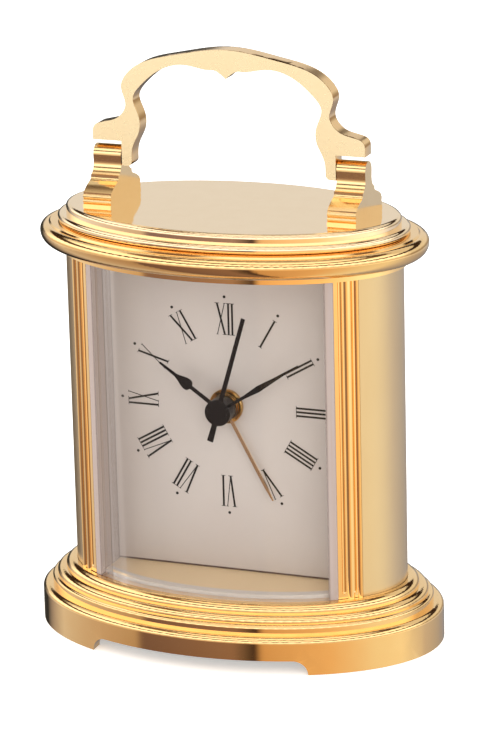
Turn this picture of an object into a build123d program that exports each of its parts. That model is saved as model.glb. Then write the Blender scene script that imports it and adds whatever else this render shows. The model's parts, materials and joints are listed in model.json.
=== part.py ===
from build123d import *
import os
from math import cos, radians, sin, sqrt

# Oval quartz carriage alarm clock, millimetres.
# Frame: origin under the middle of the base, +X right as the dial is faced,
# +Y towards the back, +Z up.

# ---------------------------------------------------------------- overall
base_half_width = 41.3      # plinth oval, half its width
base_half_depth = 27.5      # plinth oval, half its depth
base_top = 12.4             # height at which the body stands
body_height = 63.8          # base top to the underside of the cornice
cornice_height = 9.3        # underside of the cornice to the polished top
bracket_height = 10.9       # top plate to the top of a knuckle
handle_rise = 20.3          # knuckle top to the top of the bail

# ---------------------------------------------------------------- mouldings
plinth_top = 7.5
plinth_round = 1.2
step_two_inset = 2.0
step_two_top = 9.35
step_two_round = 0.65
step_three_inset = 3.0
step_three_top = 10.75
step_four_inset = 4.8
foot_arch_half = 22.4       # half length of the relief between the feet
foot_arch_height = 2.9
plinth_wall = 2.8
body_inset = 7.1            # body oval inside the plinth oval
seat_depth = 1.0            # how far the body stands into base and cornice
seat_gap = 0.1
underlip_inset = 6.2
underlip_height = 1.4
torus_inset = 2.15
torus_height = 4.1
torus_round = 1.5
torus_under_round = 2.5
shelf_inset = 3.9
bead_inset = 5.7
bead_height = 1.6
plate_inset = 7.4
plate_height = 1.85

# ---------------------------------------------------------------- body and window
shell_wall = 1.6
window_half = 25.4          # half width of the glazed opening
pilaster_width = 4.0        # as seen from the front
pilaster_depth = 2.2
flute_radius = 0.42
crystal_wall = 1.5
crystal_gap = 0.1
dial_setback = 15.0         # front of the body oval back to the dial face
dial_thickness = 0.6
dial_lap = 0.9              # dial and jambs behind the window edge
carrier_thickness = 0.8
jamb_wall = 1.0
sill_rise = 0.7             # sill above the base top
rail_width = 2.0
flute_x = (1.05, 2.75)      # flute centres from the window edge
reed_radius = 0.8
reed_x = (1.9, 3.45)        # reed centres from the window edge
reed_sink = 0.5             # reed centre below the body oval

# ---------------------------------------------------------------- movement
hand_height = 34.5          # hand arbor above the base top
case_half_width = 25.5
case_below = 31.9           # movement case below the hand arbor
case_above = 26.5           # and above it
case_depth = 15.0
case_wall = 1.0
plate_wall = 1.2
play = 0.05                 # radial running clearance of arbors, tubes and pins
arbor_radius = 0.35
seconds_arbor_radius = 0.4
tube_wall = 0.45
bush_wall = 0.75
nut_wall = 0.75
nut_height = 0.9
battery_radius = 7.25
battery_body = 49.2
battery_nub = 1.3
contact_thickness = 0.5

# ---------------------------------------------------------------- hands (distance in front of the dial)
alarm_hand_out = 1.1
hour_hand_out = 3.3
minute_hand_out = 4.0
second_hand_out = 4.7
hand_sheet = 0.3
hub_radius = 2.65
hub_gap = 0.15
hour_hand_length = 15.2
minute_hand_length = 19.6
second_hand_length = 20.2
second_tail = 6.2
alarm_hand_length = 20.6
hour_at = 305.0             # degrees clockwise from twelve
minute_at = 57.0
second_at = 16.5
alarm_at = 152.0

# ---------------------------------------------------------------- back
opening_half = 26.0
opening_low = 4.1           # shell left below the rear opening
opening_high = 3.4          # and above it
cover_wall = 1.6
cover_gap = 0.15
knob_radius = 4.4
knob_length = 4.2
time_shaft_radius = 0.8
alarm_shaft_radius = 0.6
door_half_width = 7.4
door_gap = 0.3
switch_travel = 4.0

# ---------------------------------------------------------------- brackets and handle
bracket_inner = 22.2
bracket_width = 5.8
bracket_foot_half = 7.6
knuckle_radius = 1.9
handle_thickness = 3.5
handle_gap = 0.15           # leg to bracket, each side
shoulder_gap = 1.1          # shoulder above the knuckle
leg_width = 2.1
pin_radius = 0.9
pin_reach = 2.9             # pin inside the bracket

# ---------------------------------------------------------------- screws and rods
rod_radius = 1.25
screw_radius = 0.9
screw_head_radius = 1.8
screw_head = 1.1

# ---------------------------------------------------------------- worked out
body_top = base_top + body_height
top_z = body_top + cornice_height
shell_bottom = base_top - seat_depth
shell_top = body_top + seat_depth
body_a = base_half_width - body_inset
body_b = base_half_depth - body_inset
dial_y = -body_b + dial_setback
carrier_y = dial_y + dial_thickness
front_y = carrier_y + carrier_thickness
case_y = front_y + plate_wall
rear_y = front_y + case_depth
hand_z = base_top + hand_height
case_bottom = hand_z - case_below
case_top = hand_z + case_above
sill_top = base_top + sill_rise
pilaster_outer = window_half + pilaster_width
dial_half_width = window_half + dial_lap
pivot_z = top_z + bracket_height - knuckle_radius
shoulder_z = top_z + bracket_height + shoulder_gap
handle_top = top_z + bracket_height + handle_rise
bracket_outer = bracket_inner + bracket_width
leg_outer = bracket_inner - handle_gap
leg_inner = leg_outer - leg_width
rod_x = body_a - shell_wall - rod_radius - 2.0
battery_x = case_half_width - case_wall - battery_radius - 0.2
battery_y = case_y + battery_radius + 0.5
divider_x = battery_x - battery_radius - 0.9
opening_bottom = base_top + opening_low
opening_top = body_top - opening_high

SMALL = 0.01


def at_y(y):
    """Plane facing the front at depth y; its own up is +Z and extrusions go forward."""
    return Plane.XZ.offset(-y)


def oval(inset):
    """Plan outline of a moulding, inset from the plinth."""
    return Ellipse(base_half_width - inset, base_half_depth - inset)


def oval_y(x, inset):
    """Half depth at x of the oval with this inset."""
    a = base_half_width - inset
    b = base_half_depth - inset
    return b * sqrt(max(0.0, 1 - (x / a) ** 2))


def oval_x(y, inset):
    """Half width at y of the oval with this inset."""
    a = base_half_width - inset
    b = base_half_depth - inset
    return a * sqrt(max(0.0, 1 - (y / b) ** 2))


def slab(inset, low, high, mode=Mode.ADD):
    with BuildSketch(Plane.XY.offset(low)) as outline:
        oval(inset)
    extrude(outline.sketch, amount=high - low, mode=mode)


def outer_edge(builder, z):
    """Longest edge of a part at height z."""
    return builder.edges().filter_by_position(Axis.Z, z - SMALL, z + SMALL).sort_by(SortBy.LENGTH)[-1]


def disc(x, z, y_front, y_back, radius, mode=Mode.ADD):
    """Round stretch along Y from y_front back to y_back."""
    with BuildSketch(at_y(y_back)) as outline:
        with Locations((x, z)):
            Circle(radius)
    extrude(outline.sketch, amount=y_back - y_front, mode=mode)


def post(x, y, low, high, radius, mode=Mode.ADD):
    """Upright round stretch."""
    with BuildSketch(Plane.XY.offset(low)) as outline:
        with Locations((x, y)):
            Circle(radius)
    extrude(outline.sketch, amount=high - low, mode=mode)


def block(x0, x1, y0, y1, z0, z1, mode=Mode.ADD):
    with BuildSketch(Plane.XY.offset(z0)) as outline:
        with Locations(((x0 + x1) / 2, (y0 + y1) / 2)):
            Rectangle(x1 - x0, y1 - y0)
    extrude(outline.sketch, amount=z1 - z0, mode=mode)


def axle(y, z, x0, x1, radius, mode=Mode.ADD):
    """Round stretch along X."""
    with BuildSketch(Plane.YZ.offset(x0)) as outline:
        with Locations((y, z)):
            Circle(radius)
    extrude(outline.sketch, amount=x1 - x0, mode=mode)


def finish(builder, name):
    builder.part.label = name
    export_step(builder.part, "parts/" + name + ".step")


os.makedirs("parts", exist_ok=True)

# ================================================================ case
floor_low = shell_bottom - 2.0
cavity_step = plinth_top - 2.9
plate_low = foot_arch_height + 0.2
bottom_screw_x = 17.0
with BuildPart() as base_moulding:
    slab(0, 0, plinth_top)
    fillet(outer_edge(base_moulding, plinth_top), plinth_round)
    slab(step_two_inset, plinth_top, step_two_top)
    fillet(outer_edge(base_moulding, step_two_top), step_two_round)
    slab(step_three_inset, step_two_top, step_three_top)
    fillet(outer_edge(base_moulding, step_three_top), 1.1)
    slab(step_four_inset, step_three_top, base_top)
    fillet(outer_edge(base_moulding, base_top), 1.4)
    # seat for the body, and the hollow underneath
    slab(body_inset - seat_gap, shell_bottom, base_top, Mode.SUBTRACT)
    slab(plinth_wall, 0, cavity_step, Mode.SUBTRACT)
    slab(body_inset + 0.6, 0, floor_low, Mode.SUBTRACT)
    # relief between the feet, front and back
    arch_end = foot_arch_half - foot_arch_height
    with BuildSketch(at_y(base_half_depth)) as arch:
        with BuildLine():
            Line((-arch_end, foot_arch_height), (arch_end, foot_arch_height))
            RadiusArc((arch_end, foot_arch_height), (foot_arch_half, 0), foot_arch_height)
            Line((foot_arch_half, 0), (-foot_arch_half, 0))
            RadiusArc((-foot_arch_half, 0), (-arch_end, foot_arch_height), foot_arch_height)
        make_face()
    extrude(arch.sketch, amount=2 * base_half_depth, mode=Mode.SUBTRACT)
    for side in (-1, 1):
        post(side * rod_x, 0, floor_low, shell_bottom, rod_radius + play, Mode.SUBTRACT)
        post(side * bottom_screw_x, 0, floor_low, shell_bottom - 0.4, screw_radius, Mode.SUBTRACT)
finish(base_moulding, "base_moulding")

with BuildPart() as bottom_plate:
    slab(plinth_wall + seat_gap, plate_low, cavity_step)
    for side in (-1, 1):
        post(side * bottom_screw_x, 0, cavity_step, floor_low, 2.2)
        post(side * bottom_screw_x, 0, plate_low, floor_low, screw_radius + play, Mode.SUBTRACT)
finish(bottom_plate, "bottom_plate")

with BuildPart() as bottom_screws:
    for side in (-1, 1):
        post(side * bottom_screw_x, 0, plate_low - screw_head, plate_low, screw_head_radius)
        post(side * bottom_screw_x, 0, plate_low, shell_bottom - 0.6, screw_radius)
        x = side * bottom_screw_x
        block(x - 2, x + 2, -0.25, 0.25, plate_low - screw_head, plate_low - 0.5, Mode.SUBTRACT)
finish(bottom_screws, "bottom_screws")

# The body is one oval tube, open at the front between the pilasters.
with BuildPart() as body_shell:
    slab(body_inset, shell_bottom, shell_top)
    slab(body_inset + shell_wall, shell_bottom, shell_top, Mode.SUBTRACT)
    block(-pilaster_outer, pilaster_outer, -base_half_depth, 0, shell_bottom, shell_top, Mode.SUBTRACT)
    block(-opening_half, opening_half, 0, base_half_depth, opening_bottom, opening_top, Mode.SUBTRACT)
finish(body_shell, "body_shell")

flute_bottom = base_top + 1.3
for side, name in ((-1, "pilaster_left"), (1, "pilaster_right")):
    with BuildPart() as pilaster:
        slab(body_inset + 0.1, shell_bottom, shell_top)
        for offset in reed_x:
            x = window_half + offset
            post(side * x, -oval_y(x, body_inset + reed_sink), base_top, body_top, reed_radius)
        slab(body_inset + pilaster_depth, shell_bottom, shell_top, Mode.SUBTRACT)
        inner = side * (window_half + SMALL)
        outer = side * (pilaster_outer - SMALL)
        block(min(inner, outer), max(inner, outer), -base_half_depth, 0, shell_bottom, shell_top,
              Mode.INTERSECT)
        for offset in flute_x:
            x = window_half + offset
            y = -oval_y(x, body_inset)
            post(side * x, y, flute_bottom, shell_top, flute_radius, Mode.SUBTRACT)
            with Locations((side * x, y, flute_bottom)):
                Sphere(flute_radius, mode=Mode.SUBTRACT)
    finish(pilaster, name)

# ================================================================ window
crystal_outer = body_inset + crystal_gap
crystal_inner = crystal_outer + crystal_wall
crystal_half = window_half - crystal_gap
recess_half = crystal_half - crystal_wall
window_back = dial_y - SMALL


def front_panel(inset, half, low, high, mode=Mode.ADD, back=window_back):
    """Oval segment in front of the dial plane, no wider than 2 * half."""
    with BuildSketch(Plane.XY.offset(low)) as outline:
        oval(inset)
        with Locations((0, (back - base_half_depth) / 2)):
            Rectangle(2 * half, back + base_half_depth, mode=Mode.INTERSECT)
    extrude(outline.sketch, amount=high - low, mode=mode)


with BuildPart() as crystal:
    front_panel(crystal_outer, crystal_half, base_top, shell_top - seat_gap)
    front_panel(crystal_inner, recess_half, base_top, shell_top - seat_gap, Mode.SUBTRACT)
finish(crystal, "crystal")

surround_inset = body_inset + pilaster_depth + seat_gap
rail_inner = crystal_inner + crystal_gap + rail_width
with BuildPart() as dial_surround:
    front_panel(surround_inset, window_half + jamb_wall, shell_bottom, shell_top - seat_gap)
    front_panel(0, crystal_half + SMALL, base_top - SMALL, shell_top, Mode.SUBTRACT)
    front_panel(rail_inner, recess_half - crystal_gap, base_top - SMALL, sill_top)
finish(dial_surround, "dial_surround")

with BuildPart() as crystal_rail:
    front_panel(crystal_inner + crystal_gap, recess_half - crystal_gap, base_top, sill_top + 0.1)
    front_panel(rail_inner, recess_half, base_top, sill_top + 0.1, Mode.SUBTRACT)
finish(crystal_rail, "crystal_rail")

# ================================================================ dial
second_radius = seconds_arbor_radius
cannon_radius = second_radius + play + tube_wall
hour_tube_radius = cannon_radius + play + tube_wall
alarm_tube_radius = hour_tube_radius + play + tube_wall
bush_bore = alarm_tube_radius + play
bush_radius = bush_bore + bush_wall
nut_radius = bush_radius + nut_wall

with BuildPart() as dial_plate:
    block(-dial_half_width, dial_half_width, dial_y, carrier_y, shell_bottom, shell_top - seat_gap)
    disc(0, hand_z, dial_y, carrier_y, bush_radius + play, Mode.SUBTRACT)
finish(dial_plate, "dial_plate")

carrier_half = oval_x(carrier_y, body_inset + shell_wall) - 0.25
with BuildPart() as dial_carrier:
    block(-carrier_half, carrier_half, carrier_y, front_y, shell_bottom, shell_top - seat_gap)
    disc(0, hand_z, carrier_y, front_y, bush_radius + play, Mode.SUBTRACT)
finish(dial_carrier, "dial_carrier")

with BuildPart() as fixing_nut:
    disc(0, hand_z, dial_y - nut_height, dial_y, nut_radius)
    chamfer(fixing_nut.edges().group_by(Axis.Y)[0], 0.2)
    disc(0, hand_z, dial_y - nut_height, dial_y, bush_radius, Mode.SUBTRACT)
finish(fixing_nut, "fixing_nut")

# ================================================================ cornice
torus_low = body_top + underlip_height
torus_high = torus_low + torus_height
bead_low = top_z - plate_height - bead_height
bead_high = bead_low + bead_height
bracket_mid = bracket_inner + bracket_width / 2
bracket_screw_y = 4.5
screw_seat = shell_top + screw_head + 0.4
bracket_screw_spots = [(side * bracket_mid, y) for side in (-1, 1) for y in (-bracket_screw_y, bracket_screw_y)]
with BuildPart() as cornice:
    slab(underlip_inset, body_top, torus_low)
    slab(torus_inset, torus_low, torus_high)
    fillet(outer_edge(cornice, torus_high), torus_round)
    fillet(outer_edge(cornice, torus_low), torus_under_round)
    slab(shelf_inset, torus_high, bead_low)
    chamfer(outer_edge(cornice, bead_low), 0.3)
    slab(body_inset - seat_gap, body_top, shell_top + seat_gap, Mode.SUBTRACT)
    for side in (-1, 1):
        post(side * rod_x, 0, shell_top, bead_low, rod_radius, Mode.SUBTRACT)
    for x, y in bracket_screw_spots:
        post(x, y, shell_top, screw_seat, screw_head_radius + seat_gap, Mode.SUBTRACT)
        post(x, y, shell_top, bead_low, screw_radius + play, Mode.SUBTRACT)
finish(cornice, "cornice")

with BuildPart() as top_plate:
    slab(bead_inset, bead_low, bead_high)
    fillet(outer_edge(top_plate, bead_high), 0.75)
    fillet(outer_edge(top_plate, bead_low), 0.6)
    slab(plate_inset, bead_high, top_z)
    fillet(outer_edge(top_plate, top_z), 0.8)
    for x, y in bracket_screw_spots:
        post(x, y, bead_low, top_z, screw_radius + play, Mode.SUBTRACT)
finish(top_plate, "top_plate")

with BuildPart() as tie_rods:
    for side in (-1, 1):
        x = side * rod_x
        post(x, 0, floor_low - 1.8, floor_low, rod_radius + 1.2)
        post(x, 0, floor_low, bead_low - 0.6, rod_radius)
        block(x - 3, x + 3, -0.3, 0.3, floor_low - 1.8, floor_low - 0.9, Mode.SUBTRACT)
finish(tie_rods, "tie_rods")

# ================================================================ brackets and handle
neck = knuckle_radius - 0.1
pin_hole = pin_radius + play
for side, name in ((-1, "bracket_left"), (1, "bracket_right")):
    inner = side * bracket_inner
    outer = side * bracket_outer
    with BuildPart() as bracket:
        with BuildSketch(Plane.YZ.offset(min(inner, outer))) as outline:
            with BuildLine():
                h = bracket_height
                foot = bracket_foot_half
                RadiusArc((0, top_z + h), (knuckle_radius, pivot_z), knuckle_radius)
                Line((knuckle_radius, pivot_z), (neck, pivot_z - 1.3))
                TangentArc((neck, pivot_z - 1.3), (3.0, pivot_z - 3.6), tangent=(-0.08, -1))
                Line((3.0, pivot_z - 3.6), (3.35, pivot_z - 3.6))
                Line((3.35, pivot_z - 3.6), (3.35, pivot_z - 4.1))
                Spline(
                    (3.35, pivot_z - 4.1), (4.6, pivot_z - 4.9), (foot - 0.4, top_z + 2.75),
                    tangents=((0.35, -1), (0.9, -0.6)),
                )
                Line((foot - 0.4, top_z + 2.75), (foot - 0.4, top_z + 2.45))
                ThreePointArc((foot - 0.4, top_z + 2.45), (foot - 0.1, top_z + 1.95), (foot - 0.4, top_z + 1.45))
                ThreePointArc((foot - 0.4, top_z + 1.45), (foot - 0.05, top_z + 1.0), (foot - 0.4, top_z + 0.6))
                Line((foot - 0.4, top_z + 0.6), (foot, top_z + 0.45))
                Line((foot, top_z + 0.45), (foot, top_z))
                Line((foot, top_z), (0, top_z))
                mirror(about=Plane.YZ)
            make_face()
        extrude(outline.sketch, amount=bracket_width)
        axle(0, pivot_z, side * bracket_inner, side * (bracket_inner + pin_reach + 0.3), pin_hole, Mode.SUBTRACT)
        for y in (-bracket_screw_y, bracket_screw_y):
            post(side * bracket_mid, y, top_z, top_z + 2.0, screw_radius, Mode.SUBTRACT)
    finish(bracket, name)

with BuildPart() as bracket_screws:
    for x, y in bracket_screw_spots:
        post(x, y, screw_seat - screw_head, screw_seat, screw_head_radius)
        post(x, y, screw_seat, top_z + 1.8, screw_radius)
        block(x - 2, x + 2, y - 0.25, y + 0.25, screw_seat - screw_head, screw_seat - 0.6, Mode.SUBTRACT)
finish(bracket_screws, "bracket_screws")


def bail_x(share):
    return share * bracket_outer


def bail_z(share):
    return shoulder_z + share * (handle_top - shoulder_z)


leg_bottom = pivot_z - knuckle_radius
blind = 0.5
with BuildPart() as handle:
    with BuildSketch(at_y(handle_thickness / 2)) as outline:
        with BuildLine():
            Spline(
                (0, bail_z(1.0)), (bail_x(0.375), bail_z(0.919)), (bail_x(0.729), bail_z(0.706)),
                (bail_x(0.777), bail_z(0.56)), (bail_x(0.748), bail_z(0.377)),
                (bail_x(0.807), bail_z(0.246)), (bail_x(0.95), bail_z(0.178)),
                tangents=((1, 0), (1, -0.28)),
            )
            Spline(
                (bail_x(0.95), bail_z(0.178)), (bail_x(1.0), bail_z(0.09)),
                tangents=((1, -0.28), (0.05, -1)),
            )
            Line((bail_x(1.0), bail_z(0.09)), (bracket_outer, shoulder_z))
            Line((bracket_outer, shoulder_z), (leg_outer, shoulder_z))
            Line((leg_outer, shoulder_z), (leg_outer, leg_bottom))
            Line((leg_outer, leg_bottom), (leg_inner + 1.0, leg_bottom))
            RadiusArc((leg_inner + 1.0, leg_bottom), (leg_inner, leg_bottom + 1.0), 1.0)
            Line((leg_inner, leg_bottom + 1.0), (leg_inner, pivot_z))
            Spline(
                (leg_inner, pivot_z), (bail_x(0.652), bail_z(0.11)), (bail_x(0.652), bail_z(0.27)),
                (bail_x(0.69), bail_z(0.455)), (bail_x(0.635), bail_z(0.58)),
                (bail_x(0.511), bail_z(0.733)), (bail_x(0.3), bail_z(0.822)),
                (bail_x(0.125), bail_z(0.785)), (0, bail_z(0.705)),
                tangents=((0, 1), (-0.75, -0.66)),
            )
            mirror(about=Plane.YZ)
        make_face()
    extrude(outline.sketch, amount=handle_thickness)
    for side in (-1, 1):
        axle(0, pivot_z, side * (leg_inner + blind), side * leg_outer, pin_radius, Mode.SUBTRACT)
finish(handle, "handle")

with BuildPart() as handle_pins:
    for side in (-1, 1):
        axle(0, pivot_z, side * (leg_inner + blind), side * (bracket_inner + pin_reach), pin_radius)
finish(handle_pins, "handle_pins")

# ================================================================ movement
# Wheel train seen from the front: angles are measured from +X towards +Z.
cannon_teeth, minute_wheel_teeth, motion_module = 12, 36, 0.25
minute_pinion_teeth, hour_teeth = 10, 40
centre_teeth, third_pinion_teeth, centre_module = 75, 10, 0.16
third_teeth, seconds_pinion_teeth = 80, 10
seconds_teeth, step_pinion_teeth, seconds_module = 60, 12, 0.2
step_teeth, rotor_teeth, step_module = 60, 10, 0.18
alarm_teeth, alarm_set_teeth, alarm_module = 50, 50, 0.2
minute_wheel_angle = 150.0
time_shaft_angle = 150.0
third_angle = 100.0
step_angle = 270.0
rotor_angle = 225.0
alarm_set_angle = 215.0
stud_radius = 0.5
pivot_depth = 0.6           # arbor ends inside the plates
magnet_radius = 2.0


def centre_distance(teeth_a, teeth_b, module):
    return (teeth_a + teeth_b) * module / 2


def away(origin, angle, distance):
    return (origin[0] + distance * cos(radians(angle)), origin[1] + distance * sin(radians(angle)))


def meshing_phase(teeth_a, phase_a, angle, teeth_b):
    """Phase of wheel b so that its gap meets wheel a's tooth; angle is the line from a to b."""
    lead = phase_a - angle
    return angle + 180 - lead * teeth_a / teeth_b + 180 / teeth_b


def gear(spot, y_front, y_back, teeth, module, phase):
    """Toothed disc: straight-flanked teeth, slimmer than their gaps so that they run freely."""
    pitch_radius = teeth * module / 2
    root = pitch_radius - 1.2 * module
    tip = pitch_radius + 0.9 * module
    flank = ((root, -0.30), (tip, -0.12), (tip, 0.12), (root, 0.30))
    points = []
    for tooth in range(teeth):
        for radius, share in flank:
            angle = radians(phase + (tooth + share) * 360 / teeth)
            points.append((spot[0] + radius * cos(angle), spot[1] + radius * sin(angle)))
    with BuildSketch(at_y(y_back)) as outline:
        with BuildLine():
            Polyline(*points, close=True)
        make_face()
    extrude(outline.sketch, amount=y_back - y_front)


def lighten(spot, y_front, y_back, radius, hole, count):
    """Round windows through a wheel."""
    with BuildSketch(at_y(y_back)) as outline:
        with Locations(spot):
            with PolarLocations(radius, count):
                Circle(hole)
    extrude(outline.sketch, amount=y_back - y_front, mode=Mode.SUBTRACT)


arbor_spot = (0, hand_z)
motion_distance = centre_distance(cannon_teeth, minute_wheel_teeth, motion_module)
hour_module = 2 * motion_distance / (minute_pinion_teeth + hour_teeth)
third_distance = centre_distance(centre_teeth, third_pinion_teeth, centre_module)
third_module = 2 * third_distance / (third_teeth + seconds_pinion_teeth)
minute_wheel_spot = away(arbor_spot, minute_wheel_angle, motion_distance)
time_shaft_spot = away(minute_wheel_spot, time_shaft_angle, motion_distance)
third_spot = away(arbor_spot, third_angle, third_distance)
step_spot = away(arbor_spot, step_angle, centre_distance(seconds_teeth, step_pinion_teeth, seconds_module))
rotor_spot = away(step_spot, rotor_angle, centre_distance(step_teeth, rotor_teeth, step_module))
alarm_set_spot = away(arbor_spot, alarm_set_angle, centre_distance(alarm_teeth, alarm_set_teeth, alarm_module))

# layers behind the front plate, each wheel's front face
alarm_layer = case_y + 0.3
hour_layer = alarm_layer + 1.1
minute_layer = hour_layer + 1.2
centre_layer = minute_layer + 1.7
third_layer = centre_layer + 1.2
seconds_layer = third_layer + 1.4
step_layer = seconds_layer + 1.3
magnet_layer = step_layer + 1.2
wheel_wall = 0.6

# wheel phases, so that every pair stands in mesh
cannon_phase = minute_wheel_angle
minute_wheel_phase = meshing_phase(cannon_teeth, cannon_phase, minute_wheel_angle, minute_wheel_teeth)
time_pinion_phase = meshing_phase(minute_wheel_teeth, minute_wheel_phase, time_shaft_angle, cannon_teeth)
hour_phase = minute_wheel_angle
minute_pinion_phase = meshing_phase(hour_teeth, hour_phase, minute_wheel_angle, minute_pinion_teeth)
centre_phase = third_angle
third_pinion_phase = meshing_phase(centre_teeth, centre_phase, third_angle, third_pinion_teeth)
seconds_pinion_phase = third_angle
third_phase = meshing_phase(seconds_pinion_teeth, seconds_pinion_phase, third_angle, third_teeth)
seconds_phase = step_angle
step_pinion_phase = meshing_phase(seconds_teeth, seconds_phase, step_angle, step_pinion_teeth)
step_phase = rotor_angle
rotor_phase = meshing_phase(step_teeth, step_phase, rotor_angle, rotor_teeth)
alarm_phase = alarm_set_angle
alarm_set_phase = meshing_phase(alarm_teeth, alarm_phase, alarm_set_angle, alarm_set_teeth)

train_back = rear_y - plate_wall      # inner face of the rear wall
pivots = (third_spot, step_spot, rotor_spot)
divider_low = divider_x - 0.8
case_screw_x = (-case_half_width + 3.2, divider_low - 2.3)
case_screw_z = (case_bottom + 3.2, case_top - 3.2)
case_screw_spots = [(x, z) for x in case_screw_x for z in case_screw_z]

with BuildPart() as movement_front_plate:
    block(-case_half_width, case_half_width, front_y, case_y, case_bottom, case_top)
    disc(0, hand_z, dial_y - nut_height, front_y, bush_radius)
    disc(0, hand_z, dial_y - nut_height, case_y, bush_bore, Mode.SUBTRACT)
    disc(*minute_wheel_spot, case_y, minute_layer + 1.0, stud_radius)
    for x, z in pivots:
        disc(x, z, case_y - pivot_depth - 0.2, case_y, arbor_radius + play, Mode.SUBTRACT)
    disc(*time_shaft_spot, case_y - pivot_depth - 0.2, case_y, time_shaft_radius + play, Mode.SUBTRACT)
    disc(*alarm_set_spot, case_y - pivot_depth - 0.2, case_y, alarm_shaft_radius + play, Mode.SUBTRACT)
    for x, z in case_screw_spots:
        disc(x, z, front_y + 0.3, case_y, screw_radius, Mode.SUBTRACT)
finish(movement_front_plate, "movement_front_plate")

cover_outer = body_inset + 0.1
cover_inner = cover_outer + cover_wall
cover_screw_spots = [(x, z) for x in (-20.5, 4.8) for z in (case_bottom + 11.0, case_top - 8.2)]

with BuildPart() as movement_case:
    block(-case_half_width, case_half_width, case_y, rear_y, case_bottom, case_top)
    block(-case_half_width + case_wall, divider_low, case_y, train_back,
          case_bottom + case_wall, case_top - case_wall, Mode.SUBTRACT)
    block(divider_x, case_half_width - case_wall, case_y, rear_y,
          case_bottom + case_wall, case_top - case_wall, Mode.SUBTRACT)
    for x, z in case_screw_spots:
        disc(x, z, case_y, train_back, screw_head_radius + 0.3)
        disc(x, z, case_y, rear_y, screw_radius + play, Mode.SUBTRACT)
        disc(x, z, rear_y - 0.6, rear_y, screw_head_radius + 0.1, Mode.SUBTRACT)
    for x, z in pivots:
        disc(x, z, train_back, train_back + pivot_depth + 0.2, arbor_radius + play, Mode.SUBTRACT)
    disc(0, hand_z, train_back, train_back + pivot_depth + 0.2, second_radius + play, Mode.SUBTRACT)
    disc(*time_shaft_spot, train_back, rear_y, time_shaft_radius + play, Mode.SUBTRACT)
    disc(*alarm_set_spot, train_back, rear_y, alarm_shaft_radius + play, Mode.SUBTRACT)
    for x, z in cover_screw_spots:
        disc(x, z, train_back, rear_y, screw_radius, Mode.SUBTRACT)
finish(movement_case, "movement_case")

with BuildPart() as movement_screws:
    for x, z in case_screw_spots:
        disc(x, z, rear_y - 0.6, rear_y + 0.5, screw_head_radius)
        disc(x, z, front_y + 0.4, rear_y - 0.6, screw_radius)
        block(x - 2, x + 2, rear_y, rear_y + 0.5, z - 0.25, z + 0.25, Mode.SUBTRACT)
finish(movement_screws, "movement_screws")

# ---------------------------------------------------------------- wheels on the hand arbor
alarm_tube_front = dial_y - alarm_hand_out - hand_sheet
hour_tube_front = dial_y - hour_hand_out - hand_sheet
cannon_front = dial_y - minute_hand_out - hand_sheet
second_front = dial_y - second_hand_out - hand_sheet

with BuildPart() as alarm_wheel:
    gear(arbor_spot, alarm_layer, alarm_layer + wheel_wall, alarm_teeth, alarm_module, alarm_phase)
    disc(0, hand_z, alarm_tube_front, alarm_layer, alarm_tube_radius)
    disc(0, hand_z, alarm_tube_front, alarm_layer + wheel_wall, hour_tube_radius + play, Mode.SUBTRACT)
finish(alarm_wheel, "alarm_wheel")

with BuildPart() as hour_wheel:
    gear(arbor_spot, hour_layer, hour_layer + wheel_wall, hour_teeth, hour_module, hour_phase)
    disc(0, hand_z, hour_tube_front, hour_layer, hour_tube_radius)
    disc(0, hand_z, hour_tube_front, hour_layer + wheel_wall, cannon_radius + play, Mode.SUBTRACT)
finish(hour_wheel, "hour_wheel")

with BuildPart() as cannon_pinion:
    gear(arbor_spot, minute_layer, minute_layer + 1.0, cannon_teeth, motion_module, cannon_phase)
    disc(0, hand_z, cannon_front, minute_layer, cannon_radius)
    disc(0, hand_z, minute_layer + 1.0, centre_layer + 0.9, cannon_radius)
    disc(0, hand_z, cannon_front, centre_layer + 0.9, second_radius + play, Mode.SUBTRACT)
finish(cannon_pinion, "cannon_pinion")

with BuildPart() as centre_wheel:
    gear(arbor_spot, centre_layer, centre_layer + wheel_wall, centre_teeth, centre_module, centre_phase)
    disc(0, hand_z, centre_layer, centre_layer + wheel_wall, cannon_radius + play, Mode.SUBTRACT)
    lighten(arbor_spot, centre_layer, centre_layer + wheel_wall, 3.4, 1.2, 5)
finish(centre_wheel, "centre_wheel")

with BuildPart() as seconds_wheel:
    gear(arbor_spot, seconds_layer, seconds_layer + wheel_wall, seconds_teeth, seconds_module, seconds_phase)
    lighten(arbor_spot, seconds_layer, seconds_layer + wheel_wall, 3.3, 1.2, 5)
    gear(arbor_spot, third_layer - 0.1, seconds_layer, seconds_pinion_teeth, third_module, seconds_pinion_phase)
    disc(0, hand_z, second_front + 0.15, third_layer - 0.1, second_radius)
    disc(0, hand_z, seconds_layer + wheel_wall, train_back + pivot_depth, second_radius)
finish(seconds_wheel, "seconds_wheel")

# ---------------------------------------------------------------- wheels beside it
with BuildPart() as minute_wheel:
    gear(minute_wheel_spot, minute_layer + 0.1, minute_layer + 0.8,
         minute_wheel_teeth, motion_module, minute_wheel_phase)
    gear(minute_wheel_spot, hour_layer - 0.1, minute_layer + 0.1,
         minute_pinion_teeth, hour_module, minute_pinion_phase)
    disc(*minute_wheel_spot, hour_layer - 0.1, minute_layer + 0.8, stud_radius + play, Mode.SUBTRACT)
finish(minute_wheel, "minute_wheel")

with BuildPart() as third_wheel:
    gear(third_spot, third_layer, third_layer + wheel_wall, third_teeth, third_module, third_phase)
    lighten(third_spot, third_layer, third_layer + wheel_wall, 3.4, 1.2, 5)
    gear(third_spot, centre_layer - 0.2, third_layer, third_pinion_teeth, centre_module, third_pinion_phase)
    disc(*third_spot, case_y - pivot_depth, centre_layer - 0.2, arbor_radius)
    disc(*third_spot, third_layer + wheel_wall, train_back + pivot_depth, arbor_radius)
finish(third_wheel, "third_wheel")

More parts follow.
